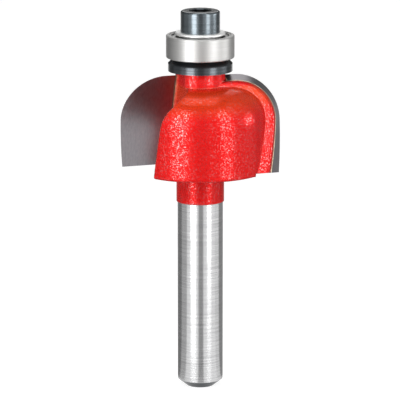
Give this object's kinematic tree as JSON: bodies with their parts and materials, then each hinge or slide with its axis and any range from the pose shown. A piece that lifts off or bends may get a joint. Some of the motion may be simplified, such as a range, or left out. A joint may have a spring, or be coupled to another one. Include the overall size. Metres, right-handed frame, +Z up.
{
  "type": "cove router bit",
  "caption": "Cove router bit with two brazed carbide cutters, a painted steel body, a plain round shank and a pilot bearing held by a socket cap screw.",
  "frame": {"origin": "centre of the shank's flat end face, which is the lowest point when the bit stands upright", "axes": "+Z up along the bit's axis from the shank's end to the pilot screw; one blade lies near +X, the other near -X, and -Y faces the viewer of the picture"},
  "size_m": [0.0222, 0.0186, 0.0536],
  "materials": {
    "red_enamel": "glossy red tool coating over turned steel; the shank below it is bare ground steel",
    "ground_steel": "finely ground bright steel",
    "carbide": "ground tungsten carbide",
    "braze": "pale silver braze",
    "black_oxide": "black oxide on turned steel",
    "ball_steel": "polished bearing balls",
    "cage_steel": "pressed steel",
    "shield_steel": "pressed bright shield",
    "washer_zinc": "bright plain washer"
  },
  "bodies": {
    "cutter": {"cutter_body": "red_enamel", "carbide_tip_a": "carbide", "carbide_tip_b": "carbide", "braze_seam_a": "braze", "braze_seam_b": "braze", "dust_collar": "black_oxide", "bearing_inner_ring": "ground_steel", "screw_washer": "washer_zinc", "cap_screw": "black_oxide"},
    "outer_race": {"bearing_outer_ring": "ground_steel", "bearing_shield_upper": "shield_steel", "bearing_shield_lower": "shield_steel", "shield_snap_ring_upper": "ground_steel", "shield_snap_ring_lower": "ground_steel"},
    "cage": {"bearing_cage": "cage_steel"},
    "ball_1": {"bearing_ball_1": "ball_steel"},
    "ball_2": {"bearing_ball_2": "ball_steel"},
    "ball_3": {"bearing_ball_3": "ball_steel"},
    "ball_4": {"bearing_ball_4": "ball_steel"},
    "ball_5": {"bearing_ball_5": "ball_steel"},
    "ball_6": {"bearing_ball_6": "ball_steel"},
    "ball_7": {"bearing_ball_7": "ball_steel"},
    "ball_8": {"bearing_ball_8": "ball_steel"}
  },
  "joints": [
    {"name": "bearing_spin", "type": "hinge", "parent": "cutter", "child": "outer_race", "pos_m": [0, 0, 0.04858], "axis": [0, 0, 1], "continuous": true},
    {"name": "cage_spin", "type": "hinge", "parent": "cutter", "child": "cage", "pos_m": [0, 0, 0.04858], "axis": [0, 0, 1], "continuous": true},
    {"name": "ball_1_spin", "type": "hinge", "parent": "cage", "child": "ball_1", "pos_m": [0.00357, 0, 0.04858], "axis": [0, 0, 1], "continuous": true},
    {"name": "ball_2_spin", "type": "hinge", "parent": "cage", "child": "ball_2", "pos_m": [0.00253, 0.00253, 0.04858], "axis": [0, 0, 1], "continuous": true},
    {"name": "ball_3_spin", "type": "hinge", "parent": "cage", "child": "ball_3", "pos_m": [0, 0.00357, 0.04858], "axis": [0, 0, 1], "continuous": true},
    {"name": "ball_4_spin", "type": "hinge", "parent": "cage", "child": "ball_4", "pos_m": [-0.00253, 0.00253, 0.04858], "axis": [0, 0, 1], "continuous": true},
    {"name": "ball_5_spin", "type": "hinge", "parent": "cage", "child": "ball_5", "pos_m": [-0.00357, 0, 0.04858], "axis": [0, 0, 1], "continuous": true},
    {"name": "ball_6_spin", "type": "hinge", "parent": "cage", "child": "ball_6", "pos_m": [-0.00253, -0.00253, 0.04858], "axis": [0, 0, 1], "continuous": true},
    {"name": "ball_7_spin", "type": "hinge", "parent": "cage", "child": "ball_7", "pos_m": [0, -0.00357, 0.04858], "axis": [0, 0, 1], "continuous": true},
    {"name": "ball_8_spin", "type": "hinge", "parent": "cage", "child": "ball_8", "pos_m": [0.00253, -0.00253, 0.04858], "axis": [0, 0, 1], "continuous": true}
  ],
  "couplings": [
    {"joint": "cage_spin", "follows": "bearing_spin", "ratio": 0.61111},
    {"joint": "ball_1_spin", "follows": "bearing_spin", "ratio": 2.1389},
    {"joint": "ball_2_spin", "follows": "bearing_spin", "ratio": 2.1389},
    {"joint": "ball_3_spin", "follows": "bearing_spin", "ratio": 2.1389},
    {"joint": "ball_4_spin", "follows": "bearing_spin", "ratio": 2.1389},
    {"joint": "ball_5_spin", "follows": "bearing_spin", "ratio": 2.1389},
    {"joint": "ball_6_spin", "follows": "bearing_spin", "ratio": 2.1389},
    {"joint": "ball_7_spin", "follows": "bearing_spin", "ratio": 2.1389},
    {"joint": "ball_8_spin", "follows": "bearing_spin", "ratio": 2.1389}
  ]
}
